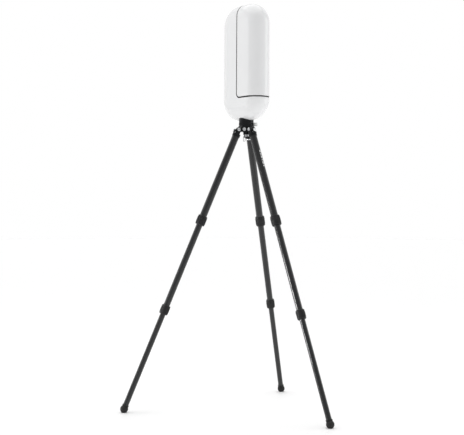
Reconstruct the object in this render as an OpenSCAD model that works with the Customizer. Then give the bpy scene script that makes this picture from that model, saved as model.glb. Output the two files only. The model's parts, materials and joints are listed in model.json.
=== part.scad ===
// Compact robotic telescope in its closed capsule form, on a three-section carbon tripod.
// Millimetres, +Z up. The origin is on the ground, at the centre of the footprint's box.
// The housing's width runs along X; legs 1, 2 and 3 stand at 0, 120 and 240 degrees.

/* [Stance] */
// Lean of each leg from vertical, degrees
leg_spread = 22.1; // [16:0.1:26]
// Distance from the tripod's axis to each leg hinge
hinge_r = 28; // [27:0.5:36]
// From the hinge to the middle of the upper twist lock
upper_len = 348; // [300:1:420]
// From the upper twist lock to the lower one
middle_len = 338; // [300:1:400]
// From the lower twist lock to the middle of the foot
lower_len = 371; // [330:1:430]

/* [Leg tubes] */
// Outer diameter of the upper tube
upper_tube_d = 25; // [24.5:0.1:28]
// Outer diameter of the middle tube
middle_tube_d = 22; // [21:0.1:22.4]
// Outer diameter of the lower tube
lower_tube_d = 19; // [17:0.1:19.4]
// Radial clearance of one tube inside the next, and of a lock on its tubes
slide_fit = 0.06; // [0.03:0.01:0.1]
// Wall of the lower tube
lower_tube_wall = 1.4; // [1:0.1:2.5]
// Length of each inner tube that stays inside the outer one at full reach
tube_overlap = 50; // [35:1:60]

/* [Twist locks and feet] */
// Wall of a twist lock, outside the tube that it grips
lock_wall = 4.5; // [3:0.25:6.5]
// Length of the upper twist lock
upper_lock_len = 35; // [30:1:42]
// Length of the lower twist lock
lower_lock_len = 33; // [28:1:40]
// Bevel at each end of a lock
lock_bevel = 3; // [1:0.5:4]
// Diameter of the rubber ball foot
foot_d = 28; // [24:1:32]
// Height of the ball's centre above the ground, less than its radius so that it stands on a flat
foot_h = 12; // [10:0.5:13]

/* [Leg yokes and angle catches] */
// Wall of the yoke's socket round the upper tube
yoke_wall = 1.5; // [1:0.25:3.5]
// Lowest edge of the yoke's socket, below the hinge
yoke_end = 27; // [25:1:50]
// Top of the yoke's socket, below the hinge
yoke_top = 16; // [15:0.5:18]
// Depth of the tube's top end below the hinge
tube_top = 18; // [17:0.5:20]
// Radius of the yoke's ears round the hinge
ear_r = 8.5; // [7:0.25:9]
// Thickness of one ear
ear_t = 5; // [4:0.5:6]
// Gap between an ear and the spider's tongue
ear_fit = 0.3; // [0.2:0.05:0.6]
// Radius of the angle catch's knob
catch_r = 6.5; // [5:0.5:6.5]
// Length of the angle catch's knob
catch_len = 8; // [6:1:16]

/* [Spider and collar] */
// Thickness of the spider's tongues, along the hinge
tongue_t = 14; // [12:0.5:16]
// Radius of a tongue's round end
tongue_r = 7.5; // [6:0.25:8]
// Diameter of the spider's top plate
plate_d = 56; // [53:1:60]
// Thickness of the spider's top plate
plate_t = 3.5; // [2.5:0.5:4]
// Height of the spider's top face above the hinges
spider_rise = 12.7; // [12.5:0.1:16]
// Diameter of the collar and of the telescope's foot on it
collar_d = 52; // [48:1:52]
// Height of the collar
collar_h = 16; // [12:1:20]
// Diameter of the mounting screw (3/8 inch)
screw_d = 9.525; // [9.525:0.1:9.725]
// Radius of the hinge bolts
bolt_r = 3; // [2.5:0.25:3.5]
// Minor radius of the accessory thread (3/8 inch, 16 turns per inch)
accessory_r = 3.97; // [3.97:0.01:4.1]

/* [Housing] */
// Width of the capsule
housing_w = 200; // [196:1:220]
// Thickness of the capsule between its flat faces
housing_t = 90; // [90:1:96]
// Height of the capsule
housing_h = 410; // [405:1:440]
// Radius of the capsule's corners, seen from the front
corner_r = 76; // [72:1:86]
// Wall of the shells
shell_wall = 2.5; // [2:0.1:3]
// Gap between the capsule's underside and the collar
underside_gap = 4; // [3:0.5:8]
// Middle of the upright seam, from the capsule's centre
seam_x = -2; // [-6:0.5:2]
// Width of the upright seam
seam_gap = 2.6; // [2:0.1:3.4]
// Middle of the level seam, above the capsule's lowest point
level_seam_h = 77.5; // [74:0.5:84]
// Width of the level seam, which lets the tube's end swing past
level_gap = 3.5; // [3.4:0.1:4.5]
// Radius of the corner where the two seams meet
seam_corner_r = 14; // [12:1:18]
// Rounding of the tube's lower edges, which swing past the base
swing_round = 4; // [3.5:0.5:6]
// Thickness of the black liners behind the seams
liner_t = 2.5; // [2:0.1:3]
// Clearance round a piece that fits inside a shell
inside_fit = 0.2; // [0.15:0.05:0.3]

/* [Drives] */
// Radius of the tilt shaft
tilt_shaft_r = 12; // [10:0.5:13]
// Radius of the tilt hub's flange
tilt_flange_r = 22; // [18:1:26]
// Radius of the tilt gearmotor
tilt_motor_r = 30; // [26:1:32]
// Length of the tilt gearmotor's gearbox
tilt_motor_len = 35; // [32:1:38]
// Radius of the pan spindle
pan_spindle_r = 14; // [12:0.5:15]
// Radius of the pan gearmotor
pan_motor_r = 24; // [22:1:26]
// Radial running clearance of the shafts
shaft_fit = 0.05; // [0.03:0.01:0.08]

/* [Optics] */
// Radius of the objective's clear glass
lens_r = 25; // [22:1:27]
// Wall of the lens barrel
barrel_wall = 2.5; // [2:0.5:3]
// Length of the lens barrel
barrel_len = 180; // [150:5:190]
// Focus travel to each side of rest
focus_travel = 2; // [1:0.5:3]

/* [Controls] */
// Radius of the power button
button_r = 11; // [9:0.5:12]
// Travel of the power button
button_travel = 1; // [0.6:0.1:1.5]
// Height of the button above the capsule's centre
button_h = 60; // [50:1:80]
// Height of the charging socket above the capsule's centre
socket_h = 20; // [5:1:28]

/* [Hidden] */
$fn = 96;

// Stance
leg_len = upper_len + middle_len + lower_len;
hinge_h = foot_h + leg_len * cos(leg_spread);
foot_circle_r = hinge_r + leg_len * sin(leg_spread);
axis_x = -foot_circle_r / 4;
spider_top = hinge_h + spider_rise;
collar_top = spider_top + collar_h;
housing_c = collar_top + underside_gap + housing_h / 2;

// Tubes
upper_tube_r = upper_tube_d / 2;
middle_tube_r = middle_tube_d / 2;
lower_tube_r = lower_tube_d / 2;
upper_lock_z = -upper_len;
lower_lock_z = -upper_len - middle_len;
foot_z = -leg_len;
upper_lock_d = upper_tube_d + 2 * lock_wall;
lower_lock_d = middle_tube_d + 2 * lock_wall;
foot_socket = 16;
foot_plug = 4;
foot_wall = 2;

// Yokes and spider
ear_in = tongue_t / 2 + ear_fit;
ear_out = ear_in + ear_t;
ear_root = 3;
yoke_d = upper_tube_d + 2 * yoke_wall;
bolt_fit = 0.05;
bolt_head_r = 6;
bolt_head_t = 2.5;
hub_r = 18;
neck_r = 11;
neck_end = 17;
catch_gap = 0.5;
catch_plate_t = 5;
catch_x0 = ear_r + catch_gap;
catch_z = -yoke_top + catch_gap + catch_r;
screw_fit = 0.2;
screw_grip = 11;
thumb_h = 6;
accessory_barrel_r = 6;
accessory_depth = 9;
accessory_out = 3;
level_r = 8;
level_h = 12;
level_at = collar_d / 2 + level_r - 2.5;
level_dish = 2;
collar_foot = 2;

// Strap band and ring
band_gap = 0.5;
band_h = yoke_end - yoke_top - ear_root - band_gap;
band_wall = 1.5;
band_r = yoke_d / 2 + band_wall;
eye_y = band_r + 5;
eye_pin_r = 1.2;
eye_half = 3.5;
eye_lug = 2;
eye_lug_h = 5;
ring_wire = 1.1;
ring_half = 6;
ring_bend = 3.4;
ring_fit = 0.05;

// Housing, built flat with its thickness along Z and then stood up
ball_r = housing_t / 2;
core_x = housing_w / 2 - ball_r;
core_y = housing_h / 2 - ball_r;
core_r = corner_r - ball_r;
turn_x = core_x - core_r;
turn_y = core_y - core_r;
cavity_r = ball_r - shell_wall;
inside_r = cavity_r - inside_fit;
level_seam_y = level_seam_h - housing_h / 2;
far = 2 * housing_h;
tube_x0 = seam_x + seam_gap / 2;
tube_y0 = level_seam_y + level_gap / 2;
seat_x0 = seam_x - seam_gap / 2;
seat_y0 = level_seam_y - level_gap / 2;
seat_corner_r = seam_corner_r + (seam_gap + level_gap) / 2;
tilt_y = core_y;

// Pieces inside the arm and the base, measured from the capsule's centre
frame_t = 3;
frame_x1 = seat_x0 - liner_t - inside_fit;
frame_x0 = frame_x1 - frame_t;
frame_half = inside_r - 4;
frame_y0 = seat_y0 + 12;
motor_x0 = frame_x0 - tilt_motor_len;
motor_drop = 10;
motor_step = 13;
motor_tail = 18;
shaft_x0 = frame_x0 - 19;
foot_disc_h = 16;
foot_step = 1;
foot_bore = 13;
foot_clearance = 0.4;
base_frame_y0 = foot_disc_h - underside_gap - housing_h / 2 + 1;
base_frame_t = 10;
base_frame_y1 = base_frame_y0 + base_frame_t;
base_frame_x = turn_x + 14;
base_frame_half = sqrt(pow(cavity_r, 2) - pow(core_y + base_frame_y0, 2)) - 2.5;
bearing_r = pan_spindle_r + 8;
pan_motor_h = 24;
pan_step = 8;
pan_tail = 14;
spindle_y1 = base_frame_y1 + 14;
spindle_top = housing_c + spindle_y1;
arm_x = -housing_w / 4 - 2;
screw_head_r = 2.6;
screw_head_t = 1.4;
screw_r = 1.4;
liner_screw_heights = [-90, -20, 50, 115];
liner_screw_z = frame_half - 6;

// The main board, its parts and its posts
board_x1 = frame_x0 - 9;
board_t = 1.6;
board_x0 = board_x1 - board_t;
board_y0 = -20;
board_y1 = 112;
board_half = 31;
post_r = 2.5;
processor = 28;
processor_t = 3;
processor_y = 35;
memory = 16;
memory_t = 2;
memory_y = -8;
memory_z = [-22, 6];
header_t = 7;
header_y = 80;
header_w = 10;
header_half = 20;

// Battery pack: two round cells side by side in one wrap
cell_r = 11;
cell_pitch = 26;
cell_len = 72;
cell_y0 = -110;
battery_x = arm_x - 4;

// Antenna
antenna_w = 32;
antenna_h = 28;
antenna_t = 1.2;
antenna_y = -22;
antenna_z = cavity_r - 4;

// Button, light ring and charging socket, on the side of the arm away from -Y
button_proud = 0.4;
button_t = 4;
stem_r = 3;
stem_end = 7.5;
ring_w = 4.2;
ring_t = 2.7;
ring_proud = 0.1;
ring_in_r = button_r + 0.3;
ring_r = ring_in_r + ring_w;
switch_w = 24;
switch_t = 3;
switch_gap = 0.5;
switch_z = stem_end - ball_r + button_travel + switch_gap;
socket_w = 11;
socket_t = 5;
socket_depth = 9;
socket_wall = 1;
socket_floor = 2.3;
socket_sunk = 0.3;
socket_fit = 0.4;

// The tube's optics
optic_x = (tube_x0 + housing_w / 2) / 2;
barrel_in_r = lens_r + 1;
barrel_end = 3;
sensor_hole_r = 12;
barrel_r = barrel_in_r + barrel_wall;
barrel_y0 = tube_y0 + liner_t + 1;
barrel_y1 = barrel_y0 + barrel_len;
lens_t = 9;
lens_lip = 1.5;
lens_curve_r = 120;
lens_y = barrel_y0 + 6;
carriage_y0 = barrel_y1 + focus_travel + 4;
carriage_t = 8;
carriage_half = 24;
carriage_hole_r = 10;
rail_r = 2.5;
rail_x = 18;
hub_flange_t = 4;
bracket_x0 = tube_x0 + liner_t + hub_flange_t;
bracket_t = 4;
bracket_plate_t = 8;
bracket_half = barrel_r + 2.5;
bracket_back = 30;
bracket_top = 18;
motor_seat_y = tilt_y - 24;
motor_seat_t = 6;
motor_hole_r = 8;
focus_motor_r = 12;
focus_motor_h = 16;
sensor_board = 26;
sensor_board_t = 1.6;
sensor_w = 16;
sensor_t = 2.4;

// ---- frames -------------------------------------------------------------------------------------
module at_axis() translate([axis_x, 0, 0]) children();

// A leg's own frame: the hinge runs along Y through its origin and the leg goes down -Z
module at_leg(i) at_axis() rotate([0, 0, 120 * (i - 1)]) translate([hinge_r, 0, hinge_h])
    rotate([0, -leg_spread, 0]) children();

// The housing's flat frame: X is its width, Y is up and Z is its thickness, pointing along the row's -Y
module at_housing() at_axis() translate([0, 0, housing_c]) rotate([90, 0, 0]) children();

// A cylinder along X from x0 to x1
module rod_x(r, x0, x1) translate([x0, 0, 0]) rotate([0, 90, 0]) cylinder(r = r, h = x1 - x0);

// A cylinder along Y from y0 to y1
module rod_y(r, y0, y1) translate([0, y0, 0]) rotate([-90, 0, 0]) cylinder(r = r, h = y1 - y0);

// A tube along Z from z0 to z1
module sleeve(r_out, r_in, z0, z1) rotate_extrude()
    translate([r_in, z0]) square([r_out - r_in, z1 - z0]);

// ---- tripod head --------------------------------------------------------------------------------
module spider() color("#2a2b2d") at_axis() difference() {
    union() {
        translate([0, 0, spider_top - plate_t]) cylinder(d = plate_d, h = plate_t);
        translate([0, 0, hinge_h - tongue_r]) cylinder(r = hub_r, h = spider_rise + tongue_r - plate_t);
        translate([0, 0, hinge_h - neck_end]) cylinder(r = neck_r, h = neck_end - tongue_r);
        for (i = [0 : 2]) rotate([0, 0, 120 * i]) {
            translate([0, -tongue_t / 2, hinge_h - tongue_r]) cube([hinge_r, tongue_t, 2 * tongue_r]);
            translate([hinge_r, 0, hinge_h]) rod_y(tongue_r, -tongue_t / 2, tongue_t / 2);
        }
    }
    for (i = [0 : 2]) rotate([0, 0, 120 * i]) translate([hinge_r, 0, hinge_h])
        rod_y(bolt_r, -tongue_t, tongue_t);
    translate([0, 0, hinge_h - neck_end - 1]) cylinder(r = screw_d / 2 + screw_fit, h = far);
    at_accessory() rod_x(accessory_barrel_r, -accessory_depth, accessory_depth);
}

// The accessory socket faces outwards half way between legs 3 and 1
module at_accessory() rotate([0, 0, 300]) translate([hub_r, 0, hinge_h + 1]) children();

module accessory_socket() color("#c9cbce") at_axis() at_accessory() difference() {
    rod_x(accessory_barrel_r, -accessory_depth, accessory_out);
    rod_x(accessory_r, -accessory_depth + 1, 2 * accessory_depth);
}

module tripod_collar() color("#1d1e20") at_axis() difference() {
    translate([0, 0, spider_top]) union() {
        cylinder(d = collar_d - 2 * collar_foot, h = collar_foot);
        translate([0, 0, collar_foot]) cylinder(d = collar_d, h = collar_h - collar_foot);
    }
    translate([0, 0, spider_top - 1]) cylinder(r = screw_d / 2 + screw_fit, h = far);
}

// The mounting screw with its knurled head under the spider
module centre_screw() color("#8d9094") at_axis() union() {
    translate([0, 0, hinge_h - neck_end - thumb_h]) cylinder(r = neck_r - 2, h = thumb_h);
    translate([0, 0, hinge_h - neck_end])
        cylinder(d = screw_d, h = collar_top + screw_grip - hinge_h + neck_end);
}

// The bubble level stands on the plate's ear, beside the collar
module spirit_level() color("#d7dad8") at_axis() rotate([0, 0, 45]) difference() {
    translate([level_at, 0, spider_top]) cylinder(r = level_r, h = level_h);
    translate([0, 0, spider_top - 1]) cylinder(r = collar_d / 2 + inside_fit, h = level_h + 2);
    translate([level_at, 0, spider_top + level_h - level_dish])
        cylinder(r = level_r - level_dish, h = level_dish + 1);
}

module hinge_bolts() color("#c4c6c9") at_axis() for (i = [0 : 2])
    rotate([0, 0, 120 * i]) translate([hinge_r, 0, hinge_h]) {
        rod_y(bolt_r, -ear_out, ear_out);
        for (side = [0, 1]) mirror([0, side, 0]) rod_y(bolt_head_r, ear_out, ear_out + bolt_head_t);
    }

// ---- legs ---------------------------------------------------------------------------------------
module leg_yoke(i) color("#232426") at_leg(i) difference() {
    union() {
        translate([0, 0, -yoke_end]) cylinder(d = yoke_d, h = yoke_end - yoke_top);
        for (side = [0, 1]) mirror([0, side, 0]) {
            rod_y(ear_r, ear_in, ear_out);
            translate([-ear_r, ear_in, -yoke_top - ear_root]) cube([2 * ear_r, ear_t, yoke_top + ear_root]);
        }
    }
    translate([0, 0, -yoke_end - 1]) cylinder(r = upper_tube_r, h = yoke_end - tube_top + 1);
    rod_y(bolt_r + bolt_fit, -yoke_d, yoke_d);
}

module upper_tube(i) color("#17181a") at_leg(i)
    sleeve(upper_tube_r, middle_tube_r + slide_fit, upper_lock_z, -tube_top);

module middle_tube(i) color("#17181a") at_leg(i)
    sleeve(middle_tube_r, lower_tube_r + slide_fit, lower_lock_z, upper_lock_z + tube_overlap);

module lower_tube(i) color("#17181a") at_leg(i)
    sleeve(lower_tube_r, lower_tube_r - lower_tube_wall, foot_z + foot_plug, lower_lock_z + tube_overlap);

// A twist lock grips the end of the outer tube above and the inner tube below
module twist_lock(d, len, mid_z, outer_r, inner_r) rotate_extrude() difference() {
    polygon([
        [inner_r - 1, mid_z - len / 2], [d / 2 - lock_bevel / 2, mid_z - len / 2],
        [d / 2, mid_z - len / 2 + lock_bevel], [d / 2, mid_z + len / 2 - lock_bevel],
        [d / 2 - lock_bevel / 2, mid_z + len / 2], [inner_r - 1, mid_z + len / 2]]);
    translate([0, mid_z - len]) square([inner_r + slide_fit, 2 * len]);
    translate([0, mid_z - slide_fit]) square([outer_r + slide_fit, len]);
}

module upper_lock(i) color("#101112") at_leg(i)
    twist_lock(upper_lock_d, upper_lock_len, upper_lock_z, upper_tube_r, middle_tube_r);

module lower_lock(i) color("#101112") at_leg(i)
    twist_lock(lower_lock_d, lower_lock_len, lower_lock_z, middle_tube_r, lower_tube_r);

module foot(i) color("#0c0c0d") at_leg(i) difference() {
    union() {
        translate([0, 0, foot_z]) sphere(d = foot_d);
        translate([0, 0, foot_z]) cylinder(r = lower_tube_r + foot_wall, h = foot_socket);
    }
    translate([0, 0, foot_z + foot_plug]) cylinder(r = lower_tube_r, h = far);
    // the flat that it stands on, level with the ground
    translate([0, 0, foot_z]) rotate([0, leg_spread, 0]) translate([-foot_d, -foot_d, -foot_h - foot_d])
        cube([2 * foot_d, 2 * foot_d, foot_d]);
}

// The catch slides out between the ears: a plate under the spider's tongue, pulled by a round knob
module angle_catch(i) color("#aeb1b5") at_leg(i) union() {
    translate([0, -tongue_t / 2 + catch_gap, -yoke_top + catch_gap])
        cube([catch_x0 + 1, tongue_t - 2 * catch_gap, catch_plate_t]);
    translate([0, 0, catch_z]) rod_x(catch_r, catch_x0, catch_x0 + catch_len);
}

// The band clamps the back leg's yoke below its ears, and carries the pin that the strap ring hangs on
module strap_band() color("#141516") at_leg(2) union() {
    sleeve(band_r, yoke_d / 2, -yoke_end, -yoke_end + band_h);
    at_strap_pin() {
        for (x = [-eye_half, eye_half - eye_lug]) translate([x, band_r - 1, -eye_lug_h / 2])
            cube([eye_lug, eye_y - band_r + 1 + eye_pin_r, eye_lug_h]);
        translate([0, eye_y, 0]) rod_x(eye_pin_r, -eye_half, eye_half);
    }
}

module at_strap_pin() translate([0, 0, -yoke_end + band_h / 2]) rotate([0, leg_spread, 0]) children();

// The strap ring: one oval loop of wire, hanging straight down from its pin
module strap_ring() color("#b9bcc0") at_leg(2) at_strap_pin()
    translate([0, eye_y, -ring_half - ring_bend + eye_pin_r + ring_wire + ring_fit])
    rotate([0, 90, 0]) union() {
        for (end = [0, 1]) rotate([0, 0, 180 * end]) {
            translate([ring_half, 0, 0]) rotate([0, 0, -90]) rotate_extrude(angle = 180)
                translate([ring_bend, 0]) circle(r = ring_wire, $fn = 24);
            translate([0, ring_bend, 0]) rotate([0, 90, 0])
                translate([0, 0, -ring_half]) cylinder(r = ring_wire, h = 2 * ring_half, $fn = 24);
        }
    }

// ---- capsule outline ----------------------------------------------------------------------------
// Half of the rim's section: a flat stretch and then a round edge of radius r
module rim_2d(r) union() {
    translate([0, -r]) square([core_r, 2 * r]);
    intersection() {
        translate([core_r, 0]) circle(r);
        translate([core_r, -r]) square([r, 2 * r]);
    }
}

module rim_wall_2d() difference() {
    rim_2d(ball_r);
    translate([-1, 0]) rim_2d_from(cavity_r);
}

// The same section with its flat stretch drawn from one millimetre before the turning axis
module rim_2d_from(r) union() {
    translate([0, -r]) square([core_r + 1, 2 * r]);
    intersection() {
        translate([core_r + 1, 0]) circle(r);
        translate([core_r + 1, -r]) square([r, 2 * r]);
    }
}

// Carries a rim section round the capsule: four turned corners and four straight sides
module round_the_rim() {
    for (q = [0 : 3]) {
        cx = (q == 0 || q == 3) ? turn_x : -turn_x;
        cy = (q < 2) ? turn_y : -turn_y;
        translate([cx, cy, 0]) rotate([0, 0, 90 * q]) rotate_extrude(angle = 90) children();
    }
    for (side = [0, 1]) mirror([side, 0, 0]) translate([turn_x, turn_y, 0]) rotate([90, 0, 0])
        linear_extrude(2 * turn_y) children();
    for (side = [0, 1]) mirror([0, side, 0]) rotate([0, 0, 90]) translate([turn_y, turn_x, 0])
        rotate([90, 0, 0]) linear_extrude(2 * turn_x) children();
}

module capsule(r) union() {
    round_the_rim() rim_2d(r);
    translate([-turn_x, -turn_y, -r]) cube([2 * turn_x, 2 * turn_y, 2 * r]);
}

module capsule_wall() union() {
    round_the_rim() rim_wall_2d();
    for (side = [0, 1]) mirror([0, 0, side]) translate([-turn_x, -turn_y, cavity_r])
        cube([2 * turn_x, 2 * turn_y, shell_wall]);
}

// Everything right of x0 and above y0, with a round corner, through the whole thickness
module beyond(x0, y0, r) translate([0, 0, -housing_t]) linear_extrude(2 * housing_t) union() {
    translate([x0 + r, y0]) square([far, far]);
    translate([x0, y0 + r]) square([far, far]);
    translate([x0 + r, y0 + r]) circle(r);
}

// Everything above y0 with both lower edges rounded, along the whole width
module swing_envelope() rotate([0, 90, 0])
    translate([0, 0, -housing_w]) linear_extrude(2 * housing_w) union() {
        translate([-ball_r + swing_round, tube_y0]) square([2 * (ball_r - swing_round), far]);
        translate([-housing_t, tube_y0 + swing_round]) square([2 * housing_t, far]);
        for (side = [-1, 1]) translate([side * (ball_r - swing_round), tube_y0 + swing_round])
            circle(swing_round);
    }

// ---- fixed half of the housing --------------------------------------------------------------------
module main_shell() color("#f2f3f3") at_housing() difference() {
    capsule_wall();
    beyond(seat_x0, seat_y0, seat_corner_r);
    rotate([-90, 0, 0]) translate([0, 0, -housing_h])
        cylinder(r = collar_d / 2 + foot_clearance, h = housing_h);
    translate([arm_x, button_h, -housing_t]) cylinder(r = ring_r + inside_fit, h = housing_t - cavity_r / 2);
    translate([arm_x - socket_w / 2 - socket_fit, socket_h - socket_t / 2 - socket_fit, -housing_t])
        cube([socket_w + 2 * socket_fit, socket_t + 2 * socket_fit, housing_t - cavity_r / 2]);
}

module seat_liner() color("#0e0f10") at_housing() difference() {
    intersection() {
        capsule(inside_r);
        beyond(seat_x0 - liner_t, seat_y0 - liner_t, seat_corner_r + liner_t);
    }
    beyond(seat_x0, seat_y0, seat_corner_r);
    translate([0, tilt_y, 0]) rod_x(tilt_shaft_r + 1, -housing_w, housing_w);
    at_liner_screws() rod_x(screw_head_r + inside_fit, -screw_head_t - inside_fit, 1);
    at_liner_screws() rod_x(screw_r + 0.1, -2 * liner_t, 1);
}

// The liner's screws stand in two rows down the arm, heads towards the seam
module at_liner_screws() for (z = [-1, 1], y = liner_screw_heights)
    translate([seat_x0, y, z * liner_screw_z]) children();

module liner_screws() color("#5c5f63") at_housing() at_liner_screws() {
    rod_x(screw_head_r, -screw_head_t, -inside_fit);
    rod_x(screw_r, -liner_t - frame_t, -screw_head_t);
}

module arm_frame() color("#9a9da1") at_housing() difference() {
    union() {
        translate([frame_x0, frame_y0, -frame_half]) cube([frame_t, tilt_y - frame_y0, 2 * frame_half]);
        translate([0, tilt_y, 0]) rod_x(frame_half, frame_x0, frame_x1);
        for (y = [board_y0 + 8, board_y1 - 8], z = [-1, 1])
            translate([0, y, z * (board_half - 6)]) rod_x(post_r, board_x1, frame_x0 + 1);
    }
    translate([0, tilt_y, 0]) rod_x(tilt_shaft_r + 2, -housing_w, housing_w);
    at_liner_screws() rod_x(screw_r, -housing_w, housing_w);
}

module main_board() color("#1f5a3a") at_housing() union() {
    translate([board_x0, board_y0, -board_half]) cube([board_t, board_y1 - board_y0, 2 * board_half]);
    translate([board_x0 - processor_t, processor_y, -processor / 2])
        cube([processor_t, processor, processor]);
    for (z = memory_z) translate([board_x0 - memory_t, memory_y, z]) cube([memory_t, memory, memory]);
    translate([board_x0 - header_t, header_y, -header_half]) cube([header_t, header_w, 2 * header_half]);
}

module base_frame() color("#9a9da1") at_housing() difference() {
    translate([-base_frame_x, base_frame_y0, -base_frame_half])
        cube([2 * base_frame_x, base_frame_t, 2 * base_frame_half]);
    rotate([-90, 0, 0]) translate([0, 0, -housing_h]) cylinder(r = bearing_r, h = 2 * housing_h);
}

module azimuth_foot() color("#2b2c2f") at_axis() difference() {
    union() {
        translate([0, 0, collar_top]) cylinder(d = collar_d, h = foot_disc_h - foot_step);
        translate([0, 0, collar_top + foot_disc_h - foot_step]) cylinder(d = collar_d - 3, h = foot_step);
        translate([0, 0, collar_top]) cylinder(r = pan_spindle_r, h = spindle_top - collar_top);
    }
    translate([0, 0, collar_top - 1]) cylinder(d = screw_d, h = foot_bore);
}

module azimuth_bearing() color("#b4b7bb") at_housing() rotate([-90, 0, 0])
    sleeve(bearing_r, pan_spindle_r + shaft_fit, base_frame_y0 + 1, base_frame_y1 - 1);

module azimuth_gearmotor() color("#3b3e42") at_housing() rotate([-90, 0, 0]) difference() {
    union() {
        translate([0, 0, base_frame_y1]) cylinder(r = pan_motor_r, h = pan_motor_h);
        translate([0, 0, base_frame_y1 + pan_motor_h]) cylinder(r = pan_motor_r - pan_step, h = pan_tail);
    }
    translate([0, 0, base_frame_y1 - 1])
        cylinder(r = pan_spindle_r + shaft_fit, h = spindle_y1 - base_frame_y1 + 2);
}

module altitude_gearmotor() color("#3b3e42") at_housing() difference() {
    union() {
        translate([0, tilt_y, 0]) rod_x(tilt_motor_r, motor_x0, frame_x0);
        translate([0, tilt_y - motor_drop, 0])
            rod_x(tilt_motor_r - motor_step, motor_x0 - motor_tail, motor_x0 + 1);
    }
    translate([0, tilt_y, 0]) rod_x(tilt_shaft_r + shaft_fit, shaft_x0 - 1, housing_w);
}

module battery_pack() color("#3a4a66") at_housing() union() {
    for (side = [-1, 1]) translate([battery_x + side * cell_pitch / 2, 0, 0])
        rod_y(cell_r, cell_y0, cell_y0 + cell_len);
    translate([battery_x - cell_pitch / 2, cell_y0, -cell_r]) cube([cell_pitch, cell_len, 2 * cell_r]);
}

module wifi_antenna() color("#c9a94e") at_housing()
    translate([arm_x - antenna_w / 2, antenna_y, antenna_z]) cube([antenna_w, antenna_h, antenna_t]);

module power_button() color("#e9ebeb") at_housing() translate([arm_x, button_h, 0]) union() {
    translate([0, 0, -ball_r - button_proud]) cylinder(r = button_r, h = button_t);
    translate([0, 0, -ball_r - button_proud]) cylinder(r = stem_r, h = stem_end + button_proud);
}

module button_light_ring() color("#8fb8e8") at_housing() translate([arm_x, button_h, 0])
    sleeve(ring_r, ring_in_r, -ball_r - ring_proud, -ball_r - ring_proud + ring_t);

module button_switch() color("#24272b") at_housing() translate([arm_x, button_h, switch_z])
    translate([-switch_w / 2, -switch_w / 2, 0]) cube([switch_w, switch_w, switch_t]);

module usb_socket() color("#a6a9ad") at_housing() difference() {
    translate([arm_x - socket_w / 2, socket_h - socket_t / 2, -ball_r + socket_sunk])
        cube([socket_w, socket_t, socket_depth]);
    translate([arm_x - socket_w / 2 + socket_wall, socket_h - socket_t / 2 + socket_wall, -housing_t])
        cube([socket_w - 2 * socket_wall, socket_t - 2 * socket_wall,
            housing_t - ball_r + socket_sunk + socket_depth - socket_floor]);
}

// ---- swinging tube --------------------------------------------------------------------------------
module tube_shell() color("#f2f3f3") at_housing() intersection() {
    capsule_wall();
    beyond(tube_x0, tube_y0, seam_corner_r);
    swing_envelope();
}

module tube_liner() color("#0e0f10") at_housing() difference() {
    intersection() {
        capsule(inside_r);
        beyond(tube_x0, tube_y0, seam_corner_r);
    }
    beyond(tube_x0 + liner_t, tube_y0 + liner_t, seam_corner_r - liner_t);
    translate([0, tilt_y, 0]) rod_x(tilt_shaft_r, -housing_w, housing_w);
    translate([optic_x, -housing_h, 0]) rod_y(lens_r + 0.5, 0, housing_h);
}

module altitude_hub() color("#b4b7bb") at_housing() translate([0, tilt_y, 0]) union() {
    rod_x(tilt_flange_r, tube_x0 + liner_t, bracket_x0);
    rod_x(tilt_shaft_r, shaft_x0, tube_x0 + liner_t);
}

// The bracket ties the barrel and the focus motor to the tilt hub
module tube_bracket() color("#9a9da1") at_housing() union() {
    translate([bracket_x0, barrel_y1 - bracket_back, -carriage_half])
        cube([bracket_t, tilt_y + bracket_top - barrel_y1 + bracket_back, 2 * carriage_half]);
    difference() {
        union() {
            translate([bracket_x0, barrel_y1 - bracket_back, -bracket_half])
                cube([optic_x - bracket_x0, bracket_plate_t, 2 * bracket_half]);
            translate([optic_x, barrel_y1 - bracket_back, 0]) rod_y(bracket_half, 0, bracket_plate_t);
        }
        translate([optic_x, barrel_y1 - bracket_back - 1, 0]) rod_y(barrel_r, 0, bracket_plate_t + 2);
    }
    difference() {
        translate([bracket_x0, motor_seat_y - motor_seat_t, -carriage_half])
            cube([optic_x + carriage_half - bracket_x0, motor_seat_t, 2 * carriage_half]);
        translate([optic_x, motor_seat_y - 2 * motor_seat_t, 0]) rod_y(motor_hole_r, 0, 3 * motor_seat_t);
    }
}

module lens_barrel() color("#141516") at_housing() translate([optic_x, 0, 0]) difference() {
    union() {
        rod_y(barrel_r, barrel_y0, barrel_y1);
        for (side = [-1, 1]) translate([side * rail_x, 0, 0])
            rod_y(rail_r, barrel_y1 - 1, carriage_y0 + carriage_t + 6);
    }
    rod_y(barrel_in_r, barrel_y0 - 1, barrel_y1 - barrel_end);
    rod_y(sensor_hole_r, barrel_y1 - barrel_end - 1, barrel_y1 + 1);
}

module lens_cell() color("#3a3c3f") at_housing() translate([optic_x, 0, 0]) rotate([-90, 0, 0])
    sleeve(barrel_in_r, lens_r - lens_lip, barrel_y0 + 1, lens_y);

// A thick biconvex lens: two shallow domes and a straight edge
module objective_lens() color("#9fb6c8", 0.5) at_housing() translate([optic_x, lens_y, 0])
    rotate([-90, 0, 0]) rotate_extrude() intersection() {
        square([lens_r, lens_t]);
        translate([0, lens_curve_r]) circle(lens_curve_r, $fn = 960);
        translate([0, lens_t - lens_curve_r]) circle(lens_curve_r, $fn = 960);
    }

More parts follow.
